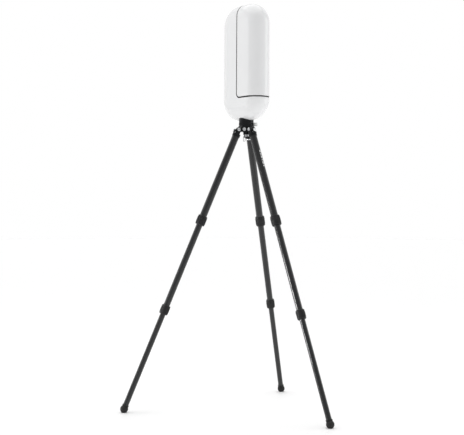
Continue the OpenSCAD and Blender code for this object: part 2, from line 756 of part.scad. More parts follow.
module focus_carriage() color("#2e3135") at_housing() translate([optic_x, 0, 0]) difference() {
    translate([-carriage_half, carriage_y0, -carriage_half])
        cube([2 * carriage_half, carriage_t, 2 * carriage_half]);
    for (side = [-1, 1]) translate([side * rail_x, 0, 0])
        rod_y(rail_r + slide_fit, carriage_y0 - 1, carriage_y0 + carriage_t + 1);
    rod_y(carriage_hole_r, carriage_y0 - 1, carriage_y0 + 3);
}

module camera_sensor() color("#30506e") at_housing() translate([optic_x, carriage_y0 + carriage_t, 0]) {
    translate([-sensor_board / 2, 0, -sensor_board / 2])
        cube([sensor_board, sensor_board_t, sensor_board]);
    translate([-sensor_w / 2, sensor_board_t, -sensor_w / 2]) cube([sensor_w, sensor_t, sensor_w]);
}

module focus_motor() color("#6b6e72") at_housing() translate([optic_x, motor_seat_y, 0])
    rod_y(focus_motor_r, 0, focus_motor_h);

// ---- one line per node ------------------------------------------------------------------------------
spider();
tripod_collar();
centre_screw();
spirit_level();
accessory_socket();
hinge_bolts();
azimuth_foot();
for (i = [1 : 3]) {
    leg_yoke(i);
    upper_tube(i);
    middle_tube(i);
    lower_tube(i);
    upper_lock(i);
    lower_lock(i);
    foot(i);
    angle_catch(i);
}
strap_band();
strap_ring();
main_shell();
seat_liner();
liner_screws();
arm_frame();
base_frame();
azimuth_bearing();
azimuth_gearmotor();
altitude_gearmotor();
battery_pack();
main_board();
wifi_antenna();
power_button();
button_light_ring();
button_switch();
usb_socket();
tube_shell();
tube_liner();
altitude_hub();
tube_bracket();
lens_barrel();
lens_cell();
objective_lens();
focus_carriage();
camera_sensor();
focus_motor();
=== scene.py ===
import json
import math

import bmesh
import bpy
from mathutils import Euler, Matrix, Vector


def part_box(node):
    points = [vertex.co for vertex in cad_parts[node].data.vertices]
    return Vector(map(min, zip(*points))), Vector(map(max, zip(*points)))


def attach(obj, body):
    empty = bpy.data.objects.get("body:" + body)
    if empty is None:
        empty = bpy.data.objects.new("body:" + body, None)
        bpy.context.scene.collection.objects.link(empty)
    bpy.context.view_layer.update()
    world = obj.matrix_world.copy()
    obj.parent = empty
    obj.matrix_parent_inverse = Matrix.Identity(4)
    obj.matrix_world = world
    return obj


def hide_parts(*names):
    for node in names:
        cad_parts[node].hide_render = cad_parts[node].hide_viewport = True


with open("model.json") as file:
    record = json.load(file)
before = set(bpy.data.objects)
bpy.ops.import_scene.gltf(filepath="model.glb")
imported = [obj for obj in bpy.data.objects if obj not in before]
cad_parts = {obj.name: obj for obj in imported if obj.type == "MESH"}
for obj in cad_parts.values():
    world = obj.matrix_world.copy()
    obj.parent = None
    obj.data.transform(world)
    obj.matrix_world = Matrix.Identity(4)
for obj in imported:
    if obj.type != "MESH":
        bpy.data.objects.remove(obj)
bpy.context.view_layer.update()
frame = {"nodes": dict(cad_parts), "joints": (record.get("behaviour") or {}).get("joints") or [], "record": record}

bl_info = {
    "name": "Robotic telescope on a carbon tripod",
    "version": (1, 0, 0),
    "blender": (4, 5, 0),
    "location": "3D View > Sidebar > Telescope",
    "description": "Finishes and fine pieces for a capsule-shaped telescope and its tripod",
    "category": "Object",
}

NODES = frame["nodes"]
BODIES = frame["record"]["behaviour"]["bodies"]
JOINTS = {joint["name"]: joint for joint in frame["joints"]}
SLOTS = {row["node"]: row["material_slot"] for row in frame["record"]["subparts"]}
LEGS = (1, 2, 3)
MM = 0.001
SAME_PLACE = 1e-6  # points closer than this are one point
ROUND = 96  # sides of a large round shape


# ---- places taken from the frame ----
def joint_at(name):
    return Vector(JOINTS[name]["pos_m"])


AXIS = joint_at("pan")
LEG_UP = {i: Vector(JOINTS[f"middle_slide_{i}"]["axis"]) for i in LEGS}
LEG_SIDE = {i: Vector(JOINTS[f"leg_fold_{i}"]["axis"]) for i in LEGS}
LEG_TOP = {i: joint_at(f"leg_fold_{i}") for i in LEGS}
HINGE_H = LEG_TOP[1].z


def leg_matrix(i):
    """The leg's own frame: origin at its hinge, Z up along the leg, Y along the hinge."""
    out = LEG_SIDE[i].cross(LEG_UP[i])
    turn = Matrix((out, LEG_SIDE[i], LEG_UP[i])).transposed().to_4x4()
    return Matrix.Translation(LEG_TOP[i]) @ turn


def body_of(node):
    return next(body for body, members in BODIES.items() if node in members)


def in_frame(node, matrix):
    """Lowest and highest corners of a node in another frame."""
    turn = matrix.inverted()
    places = [turn @ corner.co for corner in NODES[node].data.vertices]
    return (Vector(min(place[k] for place in places) for k in range(3)),
            Vector(max(place[k] for place in places) for k in range(3)))


# The housing's flat frame: X is its width, Y is up, Z is its thickness and points along the frame's -Y
HOUSING_LOW, HOUSING_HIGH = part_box("main_shell")
HALF_T = (HOUSING_HIGH.y - HOUSING_LOW.y) / 2
HALF_H = (HOUSING_HIGH.z - HOUSING_LOW.z) / 2
HALF_W = AXIS.x - HOUSING_LOW.x
HOUSING_CENTRE = Vector((AXIS.x, AXIS.y, HOUSING_LOW.z + HALF_H))
HOUSING = Matrix.Translation(HOUSING_CENTRE) @ Matrix.Rotation(math.pi / 2, 4, "X")
TUBE_X0, TUBE_Y0 = in_frame("tube_shell", HOUSING)[0][:2]


# ---- settings ----
def colour(name, default, about):
    return bpy.props.FloatVectorProperty(
        name=name, description=about, subtype="COLOR", size=3, min=0, max=1, default=default)


def share(name, default, about):
    return bpy.props.FloatProperty(name=name, description=about, min=0, max=1, default=default)


def length(name, default_mm, about):
    return bpy.props.FloatProperty(
        name=name, description=about, unit="LENGTH", min=0, default=default_mm * MM)


def degrees(name, default, about):
    return bpy.props.FloatProperty(
        name=name, description=about, subtype="ANGLE", default=math.radians(default))


class TelescopeFinish(bpy.types.PropertyGroup):
    shell: colour("Shell", (0.87, 0.874, 0.88), "Gloss white of the capsule")
    # The liner colour also serves as painted shade on the shells' seam and hole walls
    liner: colour("Liner", (0.006, 0.006, 0.007), "Black moulding behind the seams")
    carbon: colour("Carbon", (0.005, 0.0053, 0.006), "Dark tows of the leg tubes")
    casting: colour("Casting", (0.012, 0.0125, 0.014), "Anodised black castings")
    grip: colour("Grip", (0.008, 0.008, 0.009), "Rubber of the twist locks")
    metal: colour("Metal", (0.78, 0.79, 0.80), "Turned bright metal")
    shell_roughness: share("Shell roughness", 0.16, "Roughness of the capsule under its clear coat")
    weave: length("Weave", 2.0, "Width of one carbon tow")


class TelescopeDetail(bpy.types.PropertyGroup):
    edge: length("Edge", 0.6, "Rounding of the castings' edges")
    corner: length("Capsule corner", 76, "Radius of the capsule's outline")
    wall: length("Wall", 2.5, "Wall of the shells")
    upright_gap: length("Upright seam", 2.6, "Width of the upright seam")
    level_gap: length("Level seam", 3.5, "Width of the level seam")
    seam_corner: length("Seam corner", 14, "Radius where the two seams meet")
    swing_round: length("Swing rounding", 4, "Rounding of the tube's end, which swings past the base")
    seam_edge: length("Seam edge", 1.0, "Rounding of the shells along the seam")
    knob_length: length("Knob length", 8, "Length of the angle catch's knob")
    rib_height: length("Rib height", 0.45, "Height of the grip ribs on the twist locks")
    rib_count: bpy.props.IntProperty(
        name="Ribs", description="Grip ribs round one twist lock", min=12, max=60, default=32)
    knurl_count: bpy.props.IntProperty(
        name="Knurls", description="Ridges round the angle catch's knob", min=12, max=60, default=30)


class TelescopeStage(bpy.types.PropertyGroup):
    camera_away: length("Camera distance", 3635, "Distance from the tripod's axis to the camera")
    camera_height: length("Camera height", 650, "Height of the camera above the floor")
    camera_side: degrees("Camera side", -40.4, "Direction of the camera from the axis")
    camera_yaw: degrees("Camera yaw", 0.77, "Turn of the camera to its left")
    camera_pitch: degrees("Camera pitch", 0.47, "Tilt of the camera upwards")
    camera_roll: degrees("Camera roll", 0.33, "Roll of the camera, clockwise")
    lens: bpy.props.FloatProperty(
        name="Lens", description="Focal length in millimetres", subtype="DISTANCE_CAMERA",
        default=79.5)
    key: bpy.props.FloatProperty(
        name="Key light", description="Power of the soft box on the left, in watts", default=8)
    leg_light: bpy.props.FloatProperty(
        name="Leg light", description="Power of the low box that lights the legs, in watts",
        default=1.0)
    edge_light: bpy.props.FloatProperty(
        name="Edge light", description="Power of the soft box on the right, in watts", default=9)
    overhead: bpy.props.FloatProperty(
        name="Overhead", description="Strength of the wide light from above", default=1.25)
    room_front: share("Room, front", 0.47, "Brightness of the room behind the camera")
    room_back: share("Room, back", 0.92, "Brightness of the room behind the telescope")


def settings(group):
    return getattr(bpy.context.scene, group)


# ---- shader building ----
class Finish:
    """One material with its Principled shader and a few short ways to add to it."""

    def __init__(self, name, base, roughness, **sockets):
        self.material = bpy.data.materials.new(f"finish_{name}")
        self.material.use_nodes = True
        self.tree = self.material.node_tree
        self.shader = self.tree.nodes["Principled BSDF"]
        self.set("Base Color", (*base, 1))
        self.set("Roughness", roughness)
        for socket, value in sockets.items():
            self.set(socket.replace("_", " "), value)
        self.coordinates = self.node("ShaderNodeTexCoord").outputs["Object"]
        self.base, self.roughness = base, roughness

    def set(self, socket, value):
        self.shader.inputs[socket].default_value = value

    def node(self, kind, **values):
        made = self.tree.nodes.new(kind)
        for name, value in values.items():
            if hasattr(made, name):
                setattr(made, name, value)
            else:
                made.inputs[name.replace("_", " ")].default_value = value
        return made

    def link(self, source, target):
        self.tree.links.new(source, target)

    def math(self, operation, first, second=None):
        made = self.node("ShaderNodeMath", operation=operation)
        for slot, value in zip(made.inputs, (first, second)):
            if isinstance(value, bpy.types.NodeSocket):
                self.link(value, slot)
            elif value is not None:
                slot.default_value = value
        return made.outputs[0]

    def noise(self, scale, detail=3.0):
        made = self.node("ShaderNodeTexNoise", Scale=scale, Detail=detail)
        self.link(self.coordinates, made.inputs["Vector"])
        return made.outputs["Fac"]

    def between(self, factor, low, high):
        """A number that runs from low to high with the factor."""
        made = self.node("ShaderNodeMapRange", To_Min=low, To_Max=high)
        self.link(factor, made.inputs["Value"])
        return made.outputs["Result"]

    def mixed(self, factor, low, high):
        """A colour that runs from low to high with the factor."""
        made = self.node("ShaderNodeMix", data_type="RGBA")
        self.link(factor, made.inputs["Factor"])
        made.inputs["A"].default_value = (*low, 1)
        made.inputs["B"].default_value = (*high, 1)
        return made.outputs["Result"]

    def drift(self, scale, amount):
        """Slow change of colour over the surface."""
        low = [max(0, c * (1 - amount)) for c in self.base]
        high = [min(1, c * (1 + amount)) for c in self.base]
        self.link(self.mixed(self.noise(scale), low, high), self.shader.inputs["Base Color"])

    def rub(self, scale, amount):
        """Roughness that comes and goes as handling leaves it."""
        low, high = max(0.02, self.roughness - amount), min(1, self.roughness + amount)
        self.link(self.between(self.noise(scale, 5.0), low, high), self.shader.inputs["Roughness"])

    def bump(self, height, distance, strength=1.0):
        made = self.node("ShaderNodeBump", Strength=strength, Distance=distance)
        self.link(height, made.inputs["Height"])
        if self.shader.inputs["Normal"].links:
            self.link(self.shader.inputs["Normal"].links[0].from_socket, made.inputs["Normal"])
        self.link(made.outputs["Normal"], self.shader.inputs["Normal"])


def plain_finish(name, base, roughness, drift=None, rub=None, grain=None, **sockets):
    """A finish with a slow drift of colour, wear from handling and a fine grain, where each is given.

    drift and rub are a scale and an amount; grain is a scale, a detail, a height and a strength.
    """
    finish = Finish(name, base, roughness, **sockets)
    if drift:
        finish.drift(*drift)
    if rub:
        finish.rub(*rub)
    if grain:
        scale, detail, *relief = grain
        finish.bump(finish.noise(scale, detail), *relief)
    return finish.material


def rubber_finish(name, base, grain):
    return plain_finish(name, base, 0.55, (90, 0.35), (150, 0.1), (grain, 3.0, 0.00006),
                        Specular_IOR_Level=0.4)


def plastic_finish(name, base, roughness):
    return plain_finish(name, base, roughness, (50, 0.08), (120, 0.06), (1500, 2.0, 0.00002))


def carbon_finish(i, section, radius):
    """Two-and-two twill round a leg tube, laid out in the leg's own frame, under a clear coat."""
    values = settings("telescope_finish")
    finish = Finish(f"carbon_{section}_{i}", values.carbon, 0.36, Specular_IOR_Level=0.3,
                    Coat_Weight=0.6, Coat_Roughness=0.15)
    matrix = leg_matrix(i)
    place = finish.node("ShaderNodeMapping", vector_type="TEXTURE")
    place.inputs["Location"].default_value = matrix.translation
    place.inputs["Rotation"].default_value = matrix.to_euler()
    finish.link(finish.coordinates, place.inputs["Vector"])
    axes = finish.node("ShaderNodeSeparateXYZ")
    finish.link(place.outputs["Vector"], axes.inputs["Vector"])
    tows = 4 * round(2 * math.pi * radius / values.weave / 4)
    turn = finish.math("ARCTAN2", axes.outputs["Y"], axes.outputs["X"])
    across = finish.math("MULTIPLY", turn, tows / (2 * math.pi))
    along = finish.math("DIVIDE", axes.outputs["Z"], values.weave)
    step = finish.math("ADD", finish.math("FLOOR", across), finish.math("FLOOR", along))
    over = finish.math("LESS_THAN", finish.math("FLOORED_MODULO", step, 4.0), 2.0)
    lighter = [2.1 * c for c in values.carbon]
    finish.link(finish.mixed(over, values.carbon, lighter), finish.shader.inputs["Base Color"])
    finish.link(finish.between(over, 0.30, 0.44), finish.shader.inputs["Roughness"])
    crown = finish.math("ABSOLUTE", finish.math("SINE", finish.math("MULTIPLY", across, math.pi)))
    ridge = finish.math("ABSOLUTE", finish.math("SINE", finish.math("MULTIPLY", along, math.pi)))
    weave = finish.node("ShaderNodeMix", data_type="FLOAT")
    for name, source in (("Factor", over), ("A", crown), ("B", ridge)):
        finish.link(source, weave.inputs[name])
    finish.bump(weave.outputs["Result"], 0.00004, 0.5)
    return finish.material


def make_finishes():
    """One material per slot of the record; the carbon tubes get theirs leg by leg."""
    values = settings("telescope_finish")
    plain_finish("white_gloss_shell", values.shell, values.shell_roughness,
                 (9, 0.012), (60, 0.03), (140, 1.0, 0.00003, 0.4),
                 Coat_Weight=0.6, Coat_Roughness=0.04, Specular_IOR_Level=0.5)
    # black_liner is also put on the shells' seam walls, seam edges and hole walls as painted shade
    plain_finish("black_liner", values.liner, 0.6, (40, 0.3), None, (2600, 2.0, 0.00005))
    plain_finish("black_casting", values.casting, 0.34,
                 (120, 0.25), (90, 0.08), (1800, 3.0, 0.00004), Metallic=0.7)
    plain_finish("bright_metal", values.metal, 0.22,
                 (150, 0.06), (240, 0.07), (3200, 2.0, 0.00001), Metallic=1.0)
    plain_finish("steel", (0.60, 0.61, 0.62), 0.28,
                 (200, 0.08), (300, 0.08), (2800, 2.0, 0.00001), Metallic=1.0)
    plain_finish("plain_alloy", (0.50, 0.51, 0.53), 0.38,
                 (60, 0.08), (180, 0.1), (1500, 4.0, 0.00002), Metallic=1.0)
    plain_finish("light_guide", (0.55, 0.72, 0.90), 0.2, (120, 0.05), (150, 0.05),
                 Transmission_Weight=0.3)
    plain_finish("level_body", (0.74, 0.75, 0.74), 0.3, (100, 0.05), (150, 0.05),
                 Transmission_Weight=0.05)
    plain_finish("level_liquid", (0.55, 0.78, 0.22), 0.08, (300, 0.1),
                 Transmission_Weight=0.5, IOR=1.4)
    plain_finish("mark_paint", (0.62, 0.62, 0.62), 0.5, (400, 0.2), (500, 0.1))
    plain_finish("lens_glass", (0.90, 0.94, 0.97), 0.02, None, (200, 0.01),
                 Transmission_Weight=0.9, IOR=1.52)
    rubber_finish("grip_rubber", values.grip, 1400)
    rubber_finish("foot_rubber", (0.010, 0.010, 0.010), 900)
    plastic_finish("motor_grey", (0.07, 0.075, 0.085), 0.4)
    plastic_finish("battery_wrap", (0.05, 0.09, 0.17), 0.3)
    plastic_finish("circuit_green", (0.01, 0.12, 0.05), 0.35)
    plastic_finish("antenna_amber", (0.45, 0.25, 0.05), 0.4)
    plastic_finish("button_white", (0.78, 0.79, 0.80), 0.2)
    plastic_finish("sensor_blue", (0.02, 0.06, 0.14), 0.3)


def finish_of(slot):
    return bpy.data.materials[f"finish_{slot}"]


def dress(piece, material, body):
    """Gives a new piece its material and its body."""
    piece.data.materials.append(material)
    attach(piece, body)


# ---- mesh building ----
def piece_from(mesh_edit, name, matrix=None, smooth_angle=35):
    """Turns a bmesh into an object at the origin, with its place in its mesh."""
    if matrix is not None:
        mesh_edit.transform(matrix)
    mesh = bpy.data.meshes.new(name)
    mesh_edit.to_mesh(mesh)
    mesh_edit.free()
    mesh.shade_smooth()
    mesh.set_sharp_from_angle(angle=math.radians(smooth_angle))
    made = bpy.data.objects.new(name, mesh)
    bpy.context.scene.collection.objects.link(made)
    return made


def bevel_edges(mesh_edit, width, angle=35, segments=3, clamped=True):
    sharp = [edge for edge in mesh_edit.edges
             if edge.is_manifold and edge.calc_face_angle(0) > math.radians(angle)]
    bmesh.ops.bevel(mesh_edit, geom=sharp, offset=width, offset_type="OFFSET", affect="EDGES",
                    segments=segments, profile=0.5, material=-1, clamp_overlap=clamped)


def points_of(items):
    return [item for item in items if isinstance(item, bmesh.types.BMVert)]


def edges_of(items):
    return [item for item in items if isinstance(item, bmesh.types.BMEdge)]


def in_mm(profile, radius=0, height=0):
    """A profile of (radius, height) points in millimetres, moved out and up, in metres."""
    return [(radius + r * MM, height + h * MM) for r, h in profile]


def rod(radius, depth, sides=ROUND):
    """A closed upright rod round the origin."""
    shape = bmesh.new()
    bmesh.ops.create_cone(shape, cap_ends=True, segments=sides, radius1=radius, radius2=radius,
                          depth=depth)
    return shape


def brick(size):
    """A closed block round the origin."""
    shape = bmesh.new()
    bmesh.ops.create_cube(shape, size=1)
    bmesh.ops.scale(shape, verts=shape.verts, vec=size)
    return shape


def turned(profile, steps=ROUND):
    """A closed section of (radius, height) points, in metres, turned once round Z."""
    shape = bmesh.new()
    corners = [shape.verts.new((radius, 0, height)) for radius, height in profile]
    for corner, following in zip(corners, corners[1:] + corners[:1]):
        shape.edges.new((corner, following))
    bmesh.ops.spin(shape, geom=shape.verts[:] + shape.edges[:], cent=(0, 0, 0), axis=(0, 0, 1),
                   angle=2 * math.pi, steps=steps, use_merge=True)
    bmesh.ops.remove_doubles(shape, verts=shape.verts, dist=1e-7)
    bmesh.ops.dissolve_degenerate(shape, dist=1e-8, edges=shape.edges)
    bmesh.ops.recalc_face_normals(shape, faces=shape.faces)
    return shape


def prism(low, high, depth, corners=(), radius=0, steps=20):
    """A block from low to high in X and Y, centred on Z, with chosen upright corners rounded."""
    shape = bmesh.new()
    bmesh.ops.create_grid(shape, x_segments=1, y_segments=1, size=0.5)
    for corner in shape.verts:
        corner.co.x = high[0] if corner.co.x > 0 else low[0]
        corner.co.y = high[1] if corner.co.y > 0 else low[1]
        corner.co.z = -depth / 2
    round_ones = [corner for corner in shape.verts
                  if any((corner.co.xy - Vector(place)).length < SAME_PLACE for place in corners)]
    if round_ones:
        bmesh.ops.bevel(shape, geom=round_ones, offset=radius, offset_type="OFFSET",
                        affect="VERTICES", segments=steps, profile=0.5, material=-1)
    pulled = bmesh.ops.extrude_face_region(shape, geom=shape.faces[:])["geom"]
    bmesh.ops.translate(shape, verts=points_of(pulled), vec=(0, 0, depth))
    bmesh.ops.recalc_face_normals(shape, faces=shape.faces)
    return shape


def carved(shape, *cuts):
    """Cuts a closed shape with others, each given with its boolean: DIFFERENCE or INTERSECT."""
    made = []
    for source in (shape, *(cut for _, cut in cuts)):
        mesh = bpy.data.meshes.new("cut")
        source.to_mesh(mesh)
        source.free()
        made.append(bpy.data.objects.new("cut", mesh))
        bpy.context.scene.collection.objects.link(made[-1])
    for helper, (operation, _) in zip(made[1:], cuts):
        step = made[0].modifiers.new("cut", "BOOLEAN")
        step.operation, step.object, step.solver = operation, helper, "EXACT"
    result = bmesh.new()
    result.from_object(made[0], bpy.context.evaluated_depsgraph_get())
    for helper in made:
        mesh = helper.data
        bpy.data.objects.remove(helper)
        bpy.data.meshes.remove(mesh)
    if not result.faces:
        raise RuntimeError("a cut left nothing of the shape")
    return result


def even_shading(made):
    """Keeps broad flat faces evenly shaded up to their rounded edges."""
    step = made.modifiers.new("even_shading", "WEIGHTED_NORMAL")
    step.keep_sharp = True
    return made


def ring_of(shape, count):
    """Repeats a small closed shape round Z."""
    bmesh.ops.spin(shape, geom=shape.verts[:] + shape.edges[:] + shape.faces[:], cent=(0, 0, 0),
                   axis=(0, 0, 1), angle=2 * math.pi * (count - 1) / count, steps=count - 1,
                   use_duplicate=True)
    return shape


def joined(*shapes):
    """Puts several closed shapes into one."""
    first = shapes[0]
    for other in shapes[1:]:
        mesh = bpy.data.meshes.new("joined")
        other.to_mesh(mesh)
        other.free()
        first.from_mesh(mesh)
        bpy.data.meshes.remove(mesh)
    return first


def rounded_copy(node, width):
    """A merged copy of a CAD node with its hard edges rounded, which stands for the node."""
    mesh_edit = bmesh.new()
    mesh_edit.from_mesh(NODES[node].data)
    bmesh.ops.remove_doubles(mesh_edit, verts=mesh_edit.verts, dist=SAME_PLACE)
    bmesh.ops.dissolve_limit(
        mesh_edit, angle_limit=math.radians(0.5), use_dissolve_boundaries=False,
        verts=mesh_edit.verts, edges=mesh_edit.edges, delimit=set())
    bevel_edges(mesh_edit, width)
    made = even_shading(piece_from(mesh_edit, f"{node}_finished"))
    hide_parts(node)
    dress(made, NODES[node].data.materials[0], body_of(node))


# ---- operators ----
class TELESCOPE_OT_finishes(bpy.types.Operator):
    """Give every CAD node its material"""
    bl_idname = "telescope.finishes"
    bl_label = "Finishes"

    def execute(self, context):
        make_finishes()
        for node, made in NODES.items():
            made.data.materials.clear()
            if SLOTS[node] == "carbon_tube":
                section, _, i = node.split("_")
                radius = in_frame(node, leg_matrix(int(i)))[1].y
                made.data.materials.append(carbon_finish(int(i), section, radius))
            else:
                made.data.materials.append(finish_of(SLOTS[node]))
        return {"FINISHED"}


class TELESCOPE_OT_shells(bpy.types.Operator):
    """Make the capsule's two smooth shells with rounded seam edges, with painted shade in black on their seam and
    hole walls
    """
    bl_idname = "telescope.shells"
    bl_label = "Shells"
    # A face is part of a wall or of its rounded edge when it leans less than this out of the skin; such faces get
    # black as painted shade
    WALL_LEAN, EDGE_LEAN = 0.5, 0.93
    RIM_STEPS, CORNER_STEPS = 40, 28
    FOOT_FIT, BUTTON_FIT, SOCKET_FIT = 0.4 * MM, 0.2 * MM, 0.4 * MM
    SOCKET_ROUND = 1 / 2.2  # corner radius of the socket's hole, as a share of its height

    def execute(self, context):
        values = settings("telescope_detail")
        far = 4 * HALF_H
        seat = (TUBE_X0 - values.upright_gap, TUBE_Y0 - values.level_gap)
        seat_corner = values.seam_corner + (values.upright_gap + values.level_gap) / 2
        hull = self.hull(values)
        main = carved(hull.copy(),
                      ("DIFFERENCE", prism(seat, (far, far), far, [seat], seat_corner)),
                      ("DIFFERENCE", self.foot_hole()),
                      ("DIFFERENCE", self.button_hole()),
                      ("DIFFERENCE", self.socket_hole()))
        tube = carved(hull,
                      ("INTERSECT", prism((TUBE_X0, TUBE_Y0), (far, far), far,
                                          [(TUBE_X0, TUBE_Y0)], values.seam_corner)),
                      ("INTERSECT", self.swing_room(values, far)))
        for shape, node, corner, radius in (
                (main, "main_shell", seat, seat_corner),
                (tube, "tube_shell", (TUBE_X0, TUBE_Y0), values.seam_corner)):
            bmesh.ops.remove_doubles(shape, verts=shape.verts, dist=SAME_PLACE)
            bmesh.ops.dissolve_degenerate(shape, dist=SAME_PLACE, edges=shape.edges)
            bevel_edges(shape, values.seam_edge, angle=50, clamped=False)
            self.paint_shade_on_walls(shape, values, corner, radius)
            made = even_shading(piece_from(shape, f"{node}_smooth", HOUSING))
            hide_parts(node)
            dress(made, finish_of("white_gloss_shell"), body_of(node))
            # The black second material is painted shade on the seam walls, seam edges and hole walls
            made.data.materials.append(finish_of("black_liner"))
        return {"FINISHED"}

    def outward(self, place, values):
        """The way straight out of the capsule's skin at a place, in the flat frame."""
        turn = Vector((HALF_W - values.corner, HALF_H - values.corner))
        past = Vector(
            [math.copysign(max(abs(place[k]) - turn[k], 0), place[k]) for k in (0, 1)])
        beyond = max(past.length - (values.corner - HALF_T), 0)
        flat = past.normalized() * beyond if beyond else Vector((0, 0))
        return Vector((flat.x, flat.y, place.z)).normalized()

    def paint_shade_on_walls(self, shape, values, corner, radius):
        """Paints shade: gives the black second material to the holes' walls, and to the seam's walls and rounded
        edges, where the white walls lie in the gaps' shade.
        """
        centre = Vector(corner) + Vector((radius, radius))
        for face in shape.faces:
            face.normal_update()
            lean = sum(
                abs(face.normal.dot(self.outward(place.co, values))) for place in face.verts)
            past = centre - face.calc_center_median().xy
            apart = (past.length if min(past) > 0 else max(past)) - radius
            # Near the seam most of the rounded edge is painted black too, as painted shade in the gap
            limit = self.EDGE_LEAN if abs(apart) < values.seam_edge else self.WALL_LEAN
            face.material_index = 1 if lean / len(face.verts) < limit else 0

    def closed_capsule(self, radius, corner):
        """A half-round rim carried round the outline, with both flat faces filled."""
        centre = Vector((HALF_W - corner, HALF_H - corner))
        reach = corner - HALF_T
        shape = bmesh.new()
        first = shape.verts.new((centre.x + reach, centre.y, radius))
        bmesh.ops.spin(shape, geom=[first], cent=(centre.x + reach, centre.y, 0), axis=(0, 1, 0),
                       angle=math.pi, steps=self.RIM_STEPS)
        section = shape.verts[:] + shape.edges[:]
        for across, up in ((1, 1), (-1, 1), (-1, -1), (1, -1)):
            place = (across * centre.x, up * centre.y, 0)
            section = bmesh.ops.spin(shape, geom=section, cent=place, axis=(0, 0, 1),
                                     angle=math.pi / 2, steps=self.CORNER_STEPS)["geom_last"]
            pulled = bmesh.ops.extrude_edge_only(shape, edges=edges_of(section))["geom"]
            way = (-2 * up * centre.x, 0, 0) if across == up else (0, -2 * up * centre.y, 0)
            bmesh.ops.translate(shape, verts=points_of(pulled), vec=way)
            section = points_of(pulled) + edges_of(pulled)
        bmesh.ops.remove_doubles(shape, verts=shape.verts, dist=SAME_PLACE)
        bmesh.ops.holes_fill(shape, edges=shape.edges, sides=0)
        bmesh.ops.recalc_face_normals(shape, faces=shape.faces)
        return shape

    def hull(self, values):
        outer = self.closed_capsule(HALF_T, values.corner)
        inner = self.closed_capsule(HALF_T - values.wall, values.corner)
        return carved(outer, ("DIFFERENCE", inner))

    def foot_hole(self):
        radius = in_frame("azimuth_foot", HOUSING)[1].x + self.FOOT_FIT
        hole = rod(radius, 2 * HALF_H)
        hole.transform(Matrix.Translation((0, -2 * HALF_H, 0))
                       @ Matrix.Rotation(math.pi / 2, 4, "X"))
        return hole

    def button_hole(self):
        low, high = in_frame("button_light_ring", HOUSING)
        hole = rod((high.x - low.x) / 2 + self.BUTTON_FIT, HALF_T)
        hole.transform(Matrix.Translation(((low.x + high.x) / 2, (low.y + high.y) / 2, -HALF_T)))
        return hole

    def socket_hole(self):
        low, high = in_frame("usb_socket", HOUSING)
        fit = Vector((self.SOCKET_FIT, self.SOCKET_FIT))
        start, end = low.xy - fit, high.xy + fit
        corners = [(x, y) for x in (start.x, end.x) for y in (start.y, end.y)]
        hole = prism(start, end, HALF_T, corners, (end.y - start.y) * self.SOCKET_ROUND)
        hole.transform(Matrix.Translation((0, 0, -HALF_T)))
        return hole

    def swing_room(self, values, far):
        """Everything above the level seam, with the tube's two lower edges rounded."""
        low = (-HALF_T, TUBE_Y0)
        room = prism(low, (HALF_T, far), far, [low, (HALF_T, TUBE_Y0)], values.swing_round)
        room.transform(Matrix.Rotation(math.pi / 2, 4, "Y"))
        return room


class TELESCOPE_OT_head_castings(bpy.types.Operator):
    """Round the edges of the tripod head's castings and the telescope's foot"""
    bl_idname = "telescope.head_castings"
    bl_label = "Head castings"
    RIDGES, RIDGE_R, RIDGE_IN, RIDGE_EDGE = 96, 0.55 * MM, 0.2 * MM, 0.2 * MM
    RIDGE_TALL, RIDGE_UP = 0.42, 0.45  # length and middle of a ridge, as shares of the collar
    WINDOW = ((0, -1.9), (5.6, -1.9), (5.6, -0.9), (4.2, -0.5), (2.2, -0.25), (0, -0.2))
    RING = ((2.3, -0.35), (2.3, -0.12), (2.6, -0.12), (2.6, -0.4))

    def execute(self, context):
        edge = settings("telescope_detail").edge
        for node, share_of_edge in (
                ("spider", 1), ("tripod_collar", 0.5), ("azimuth_foot", 1),
                ("spirit_level", 0.8), ("accessory_socket", 0.6), ("centre_screw", 0.6)):
            rounded_copy(node, share_of_edge * edge)
        self.collar_grip()
        self.level_bubble()
        return {"FINISHED"}

    def collar_grip(self):
        """Fine upright ridges round the collar's upper half"""
        low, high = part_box("tripod_collar")
        radius, tall = (high.x - low.x) / 2, high.z - low.z
        ridge = rod(self.RIDGE_R, self.RIDGE_TALL * tall, 8)
        bevel_edges(ridge, self.RIDGE_EDGE, angle=60, segments=1)
        ridge.transform(Matrix.Translation((radius - self.RIDGE_IN, 0, 0)))
        place = Matrix.Translation((AXIS.x, AXIS.y, low.z + self.RIDGE_UP * tall))
        made = piece_from(ring_of(ridge, self.RIDGES), "collar_grip", place)
        dress(made, finish_of("black_casting"), "tripod_head")

    def level_bubble(self):
        """The level's liquid window and the ring on it"""
        low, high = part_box("spirit_level")
        place = Matrix.Translation(((low.x + high.x) / 2, (low.y + high.y) / 2, high.z))
        for profile, name, finish in ((self.WINDOW, "level_window", "level_liquid"),
                                      (self.RING, "level_ring", "black_liner")):
            made = piece_from(turned(in_mm(profile), 48), name, place)
            dress(made, finish_of(finish), "tripod_head")


